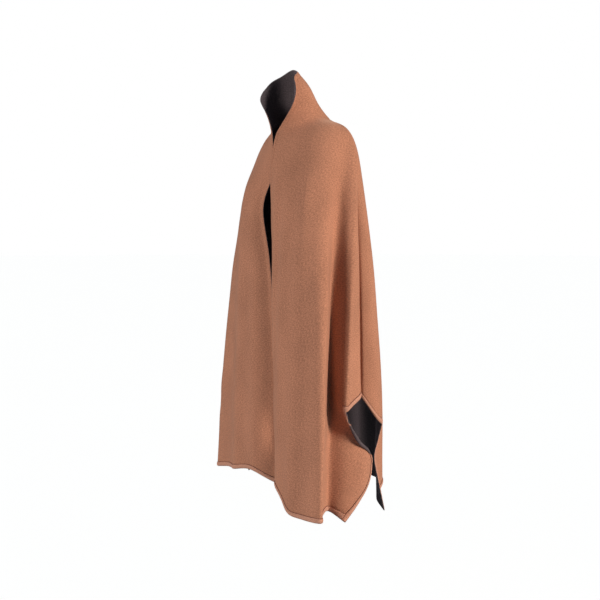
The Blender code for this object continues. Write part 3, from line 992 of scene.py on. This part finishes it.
class CapeCloth(bpy.types.PropertyGroup):
    """Sizes and colours of the cape"""

    thickness: FloatProperty(
        name="Thickness", description="Thickness of the double-faced wool",
        default=0.0024, min=0.001, max=0.003, precision=4, unit="LENGTH",
    )
    band_crown: FloatProperty(
        name="Edge padding", description="How far the turned edges stand up from the cloth",
        default=0.0016, min=0.0005, max=0.003, precision=4, unit="LENGTH",
    )
    slack: FloatProperty(
        name="Slack", description="Height of the soft waves in the cloth",
        default=0.0012, min=0.0, max=0.004, precision=4, unit="LENGTH",
    )
    stitch_spacing: FloatProperty(
        name="Stitch spacing", description="Distance from one stitch to the next",
        default=0.0042, min=0.002, max=0.01, precision=4, unit="LENGTH",
    )
    thread_radius: FloatProperty(
        name="Thread radius", description="Radius of the sewing thread",
        default=0.00075, min=0.0001, max=0.0012, precision=5, unit="LENGTH",
    )
    outside: FloatVectorProperty(
        name="Outside", description="Colour of the cape's outer face",
        default=(0.42, 0.178, 0.104), min=0.0, max=1.0, subtype="COLOR",
    )
    inside: FloatVectorProperty(
        name="Inside", description="Colour of the cape's inner face",
        default=(0.085, 0.063, 0.066), min=0.0, max=1.0, subtype="COLOR",
    )
    edges: FloatVectorProperty(
        name="Edges", description="Colour of the turned edges",
        default=(0.50, 0.235, 0.155), min=0.0, max=1.0, subtype="COLOR",
    )
    thread: FloatVectorProperty(
        name="Thread", description="Colour of the top-stitching",
        default=(0.17, 0.06, 0.038), min=0.0, max=1.0, subtype="COLOR",
    )


class CapeStudio(bpy.types.PropertyGroup):
    """Height of the floor and strength of the light"""

    floor_height: FloatProperty(
        name="Floor", description="Height of the floor, as far below the shoulders as a wearer's feet",
        default=-1.4, max=-1.0, unit="LENGTH",
    )
    lamp_strength: FloatProperty(
        name="Lamps", description="Strength of the two broad lamps", default=1.0, min=0.0,
    )
    sky_strength: FloatProperty(
        name="Fill light", description="Strength of the even light from all round", default=0.15, min=0.0,
    )


def cape_grid():
    """The fine sheet, worked out once for all the pieces of one run."""
    if "grid" not in _made:
        _made["grid"] = Grid()
    return _made["grid"]


def finish_material(key):
    """One of the cape's finishes, made the first time that it is asked for."""
    cloth = bpy.context.scene.cape_cloth
    makers = {
        "outside": lambda: wool("camel_wool", cloth.outside, 0.3, 0.55, 0.9, 0.3, (0.95, 0.66, 0.5)),
        "inside": lambda: wool("dark_wool", cloth.inside, 0.35, 0.5, 0.85, 0.35, (0.5, 0.36, 0.40)),
        "edges": lambda: wool("camel_edge", cloth.edges, 0.22, 0.45, 0.85, 0.3, (0.95, 0.7, 0.6)),
        "thread": lambda: sewing_thread("sewing_thread", cloth.thread),
    }
    if key not in _made:
        _made[key] = makers[key]()
    return _made[key]


# How far a seam and a line of stitching draw the cloth in, as shares of its thickness, and how
# wide they do so: a seam in columns, a line of stitching in metres. Far is where neither reaches.
SEAM_DEPTH = 0.3
SEAM_SPREAD = 0.12
GROOVE_DEPTH = 0.28
GROOVE_MIDDLE = 0.5 * MM
GROOVE_SPREAD = 1.3 * MM
FAR = 9.0


def seam_dip(grid):
    """How far the cloth sinks towards its seams, as a share of its thickness."""
    row, near = grid.point_places()
    side = np.where((row >= NECK_ROW) & (row <= WRIST_ROW), np.abs(near - OVERARM), FAR)
    neck = np.where(near >= OVERARM, np.abs(row - NECK_ROW), FAR)
    nape = np.where(row <= NECK_ROW, np.abs(near - CENTRE), FAR)
    nearest = np.minimum(np.minimum(side, neck), nape)
    return SEAM_DEPTH * np.exp(-((nearest / SEAM_SPREAD) ** 2))


def stitch_groove(grid):
    """How far the cloth is drawn in beside its top-stitching, as a share of its thickness."""
    u, v = grid.flat["left"][:, :, 0], grid.flat["left"][:, :, 1]
    row, near = grid.point_places()
    nearest = np.full(u.shape, FAR)
    for line in (WRIST_FRONT - 1, WRIST_BACK + 1):
        for column in (line, 2 * CENTRE - line):
            at = int(np.argmin(np.abs(grid.columns - column)))
            inner = near <= line if line < OVERARM else near >= line
            away = np.where(inner & (row >= WRIST_ROW - 1), np.abs(u - u[:, at : at + 1]), FAR)
            nearest = np.minimum(nearest, away)
    for line, use in (
        (LAST_ROW - 1, (near <= WRIST_FRONT - 1) | (near >= WRIST_BACK + 1)),
        (WRIST_ROW - 1, (near >= WRIST_FRONT - 1) & (near <= WRIST_BACK + 1)),
    ):
        at = int(np.argmin(np.abs(grid.rows - line)))
        away = np.where(use & (row <= line), np.abs(v - v[at : at + 1]), FAR)
        nearest = np.minimum(nearest, away)
    return GROOVE_DEPTH * np.exp(-(((nearest - GROOVE_MIDDLE) / GROOVE_SPREAD) ** 2))


class CAPE_OT_panels(bpy.types.Operator):
    """Makes the two fronts and the back, as closed walls of double-faced cloth"""

    bl_idname = "cape.panels"
    bl_label = "Panels"

    def execute(self, context):
        grid = cape_grid()
        thickness = context.scene.cape_cloth.thickness
        half = thickness / 2
        materials = [finish_material("outside"), finish_material("inside")]
        dip = (seam_dip(grid) + stitch_groove(grid)) * thickness
        for node in PANELS:
            cells = grid.panel(node)
            piece = cloth_wall(
                grid, "cloth_" + node, cells, half - dip, -half + 0 * dip, materials, round_rim=True,
                laid=FLAT_SIDES[node],
            )
            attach(piece, BODY)
            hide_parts(node)
            _made[piece.name] = piece
        return {"FINISHED"}


class CAPE_OT_bands(bpy.types.Operator):
    """Makes the padded strips where the cloth's edges are turned and stitched"""

    bl_idname = "cape.bands"
    bl_label = "Turned edges"

    def execute(self, context):
        grid = cape_grid()
        cloth = context.scene.cape_cloth
        half = cloth.thickness / 2
        for node, (kind, panel) in BANDS.items():
            height = padded_profile(band_share(grid, kind)) * cloth.band_crown * BAND_CROWN[kind]
            face = finish_material("outside" if kind == "front" else "edges")
            base = half - BAND_SINK + 0 * height
            piece = cloth_wall(
                grid, "rolled_" + node, grid.band(node), half + BAND_LIFT + height, base,
                [face, face], round_rim=False, laid=FLAT_SIDES[panel],
            )
            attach(piece, BODY)
            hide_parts(node)
            _made[piece.name] = piece
        return {"FINISHED"}


def one_stitch(radius, length):
    """A short thread with rounded ends, along X, modelled from a cylinder."""
    bpy.ops.object.select_all(action="DESELECT")
    bpy.ops.mesh.primitive_cylinder_add(
        vertices=6, radius=radius, depth=length, rotation=(0, math.pi / 2, 0)
    )
    stitch = bpy.context.object
    bpy.ops.object.transform_apply(location=False, rotation=True, scale=False)
    bevel = stitch.modifiers.new("ends", "BEVEL")
    bevel.width = radius * 0.6
    bevel.segments = 1
    bpy.ops.object.modifier_apply(modifier="ends")
    verts = np.array([tuple(v.co) for v in stitch.data.vertices])
    faces = [list(face.vertices) for face in stitch.data.polygons]
    mesh = stitch.data
    bpy.data.objects.remove(stitch)
    bpy.data.meshes.remove(mesh)
    return verts, faces


def grid_line(grid, corners, side):
    """Points and outward directions along straight runs of the grid between corners."""
    line = []
    for (row_a, column_a), (row_b, column_b) in zip(corners, corners[1:]):
        low, high = sorted((row_a, row_b))
        rows = np.where((grid.rows >= low) & (grid.rows <= high))[0]
        wanted = [column if side == "left" else 2 * CENTRE - column for column in (column_a, column_b)]
        low, high = sorted(wanted)
        columns = np.where((grid.columns >= low) & (grid.columns <= high))[0]
        rows = rows if row_b >= row_a else rows[::-1]
        columns = columns if wanted[1] >= wanted[0] else columns[::-1]
        run = [(row, column) for row in rows for column in columns]
        line += run[1:] if line else run
    index = tuple(np.array(line).T)
    return grid.points[index], grid.facing[index]


def stitched_line(grid, corners, side, spacing, lift, template):
    """Copies of one stitch along a line of the grid, as vertices and faces."""
    points, facing = grid_line(grid, corners, side)
    points = points + facing * lift
    along = lengths_along(points)
    places = np.arange(spacing / 2, along[-1], spacing)
    at = read_line(places, along, points)
    run = unit(read_line(places + spacing / 4, along, points) - at)
    level = unit(np.cross(read_line(places, along, facing), run))
    frames = np.stack([run, level, np.cross(run, level)], axis=1)
    shape, faces = template
    verts = at[:, None, :] + np.einsum("vi,nij->nvj", shape, frames)
    count = len(shape)
    copies = [[i * count + v for v in face] for i in range(len(at)) for face in faces]
    return verts.reshape(-1, 3), copies


class CAPE_OT_stitches(bpy.types.Operator):
    """Sews the top-stitching along the inner borders of the hem and the side edges"""

    bl_idname = "cape.stitches"
    bl_label = "Top-stitching"

    def execute(self, context):
        grid = cape_grid()
        cloth = context.scene.cape_cloth
        template = one_stitch(cloth.thread_radius, cloth.stitch_spacing * STITCH_SHARE)
        lift = cloth.thickness / 2 + cloth.thread_radius * STITCH_LIFT
        for side in ("left", "right"):
            for name, corners in STITCHING.items():
                verts, faces = stitched_line(
                    grid, corners, side, cloth.stitch_spacing, lift, template
                )
                piece = new_piece(f"{name}_{side}", verts, faces, [finish_material("thread")])
                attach(piece, BODY)
                _made[piece.name] = piece
        return {"FINISHED"}


class CAPE_OT_declare_cloth(bpy.types.Operator):
    """Gathers the turned edges and the lines of stitching that are sewn to each panel"""

    bl_idname = "cape.declare_cloth"
    bl_label = "State the cut"

    def execute(self, context):
        sewn = {node: [] for node in PANELS}
        for node, (_, panel) in BANDS.items():
            sewn[panel].append(_made["rolled_" + node])
        for side in ("left", "right"):
            sewn[side + "_front"].append(_made["stitches_front_" + side])
            sewn["back"].append(_made["stitches_back_" + side])
        return {"FINISHED"}


# The studio's two broad lamps, with their direction round the cape, height and spread in degrees
Lamp = namedtuple("Lamp", "name around above strength spread colour")
LAMPS = (
    Lamp("side_lamp", 120, 9, 4.0, 14, (1.0, 0.93, 0.84)),
    Lamp("front_lamp", 2, 11, 2.3, 20, (1.0, 0.97, 0.93)),
)
SKY_COLOUR = (0.68, 0.85, 1.0, 1.0)
WHITE = (1.0, 1.0, 1.0, 1.0)
FLOOR_RADIUS = 40.0
FLOOR_COLOUR = (0.9, 0.9, 0.9)
FLOOR_GLOW = 0.6


class CAPE_OT_studio(bpy.types.Operator):
    """Lays the pale floor and sets the soft light"""

    bl_idname = "cape.studio"
    bl_label = "Studio"

    def execute(self, context):
        studio = context.scene.cape_studio
        bpy.ops.object.select_all(action="DESELECT")
        bpy.ops.mesh.primitive_circle_add(
            vertices=96, radius=FLOOR_RADIUS, fill_type="NGON", location=(0, 0, studio.floor_height)
        )
        floor = context.object
        floor.name = "studio_floor"
        bpy.ops.object.transform_apply(location=True, rotation=False, scale=False)
        floor.data.materials.append(studio_paint("floor_paint", FLOOR_COLOUR, FLOOR_GLOW))
        context.scene.view_settings.view_transform = "Standard"
        floor.visible_diffuse = False
        world = context.scene.world or bpy.data.worlds.new("studio")
        context.scene.world = world
        world.use_nodes = True
        tree = world.node_tree
        sky = tree.nodes["Background"]
        sky.inputs["Color"].default_value = SKY_COLOUR
        sky.inputs["Strength"].default_value = studio.sky_strength
        paper = tree.nodes.new("ShaderNodeBackground")
        paper.inputs["Color"].default_value = WHITE
        paper.inputs["Strength"].default_value = 1.0
        sight = tree.nodes.new("ShaderNodeLightPath")
        either = tree.nodes.new("ShaderNodeMixShader")
        tree.links.new(sight.outputs["Is Camera Ray"], either.inputs[0])
        tree.links.new(sky.outputs[0], either.inputs[1])
        tree.links.new(paper.outputs[0], either.inputs[2])
        tree.links.new(either.outputs[0], tree.nodes["World Output"].inputs[0])
        for lamp in LAMPS:
            light = bpy.data.lights.new(lamp.name, "SUN")
            light.energy = lamp.strength * studio.lamp_strength
            light.angle = math.radians(lamp.spread)
            light.color = lamp.colour
            side, up = math.radians(lamp.around), math.radians(lamp.above)
            towards = Vector(
                (math.sin(side) * math.cos(up), -math.cos(side) * math.cos(up), math.sin(up))
            )
            placed = bpy.data.objects.new(lamp.name, light)
            placed.rotation_euler = towards.to_track_quat("Z", "Y").to_euler()
            context.scene.collection.objects.link(placed)
        return {"FINISHED"}


# Where the camera stands, its direction in degrees and its distance and height in metres, and
# how its picture is framed
CAMERA_AROUND = 58.0
CAMERA_DISTANCE = 2.1
CAMERA_HEIGHT = -0.22
CAMERA_LENS = 52.28
CAMERA_SHIFT = (-7 / 600, -70 / 600)


class CAPE_OT_camera(bpy.types.Operator):
    """Stands the camera before the wearer's left front, at the height of the chest"""

    bl_idname = "cape.camera"
    bl_label = "Camera"

    def execute(self, context):
        around = math.radians(CAMERA_AROUND)
        bpy.ops.object.camera_add(
            location=(
                CAMERA_DISTANCE * math.sin(around), -CAMERA_DISTANCE * math.cos(around), CAMERA_HEIGHT
            ),
            rotation=(math.radians(90), 0, around),
        )
        camera = context.object
        camera.data.sensor_width = 36
        camera.data.lens = CAMERA_LENS
        camera.data.shift_x, camera.data.shift_y = CAMERA_SHIFT
        camera.data.clip_end = 200
        context.scene.camera = camera
        return {"FINISHED"}


OPERATORS = (
    CAPE_OT_camera, CAPE_OT_panels, CAPE_OT_bands, CAPE_OT_stitches, CAPE_OT_declare_cloth,
    CAPE_OT_studio,
)


class CAPE_PT_sidebar(bpy.types.Panel):
    """Lists the cape's operators and sizes"""

    bl_idname = "CAPE_PT_sidebar"
    bl_label = "Wool cape"
    bl_space_type = "VIEW_3D"
    bl_region_type = "UI"
    bl_category = "Cape"

    def draw(self, context):
        layout = self.layout
        for operator in OPERATORS:
            layout.operator(operator.bl_idname)
        for settings in (context.scene.cape_cloth, context.scene.cape_studio):
            box = layout.box()
            for name in settings.__annotations__:
                box.prop(settings, name)


CLASSES = (CapeCloth, CapeStudio, *OPERATORS, CAPE_PT_sidebar)


def register():
    for cls in CLASSES:
        bpy.utils.register_class(cls)
    bpy.types.Scene.cape_cloth = PointerProperty(type=CapeCloth)
    bpy.types.Scene.cape_studio = PointerProperty(type=CapeStudio)


def unregister():
    del bpy.types.Scene.cape_studio
    del bpy.types.Scene.cape_cloth
    for cls in reversed(CLASSES):
        bpy.utils.unregister_class(cls)


def main():
    register()
    bpy.ops.object.select_all(action="DESELECT")
    bpy.ops.cape.camera()
    bpy.ops.cape.panels()
    bpy.ops.cape.bands()
    bpy.ops.cape.stitches()
    bpy.ops.cape.declare_cloth()
    bpy.ops.cape.studio()


if __name__ == "__main__":
    main()
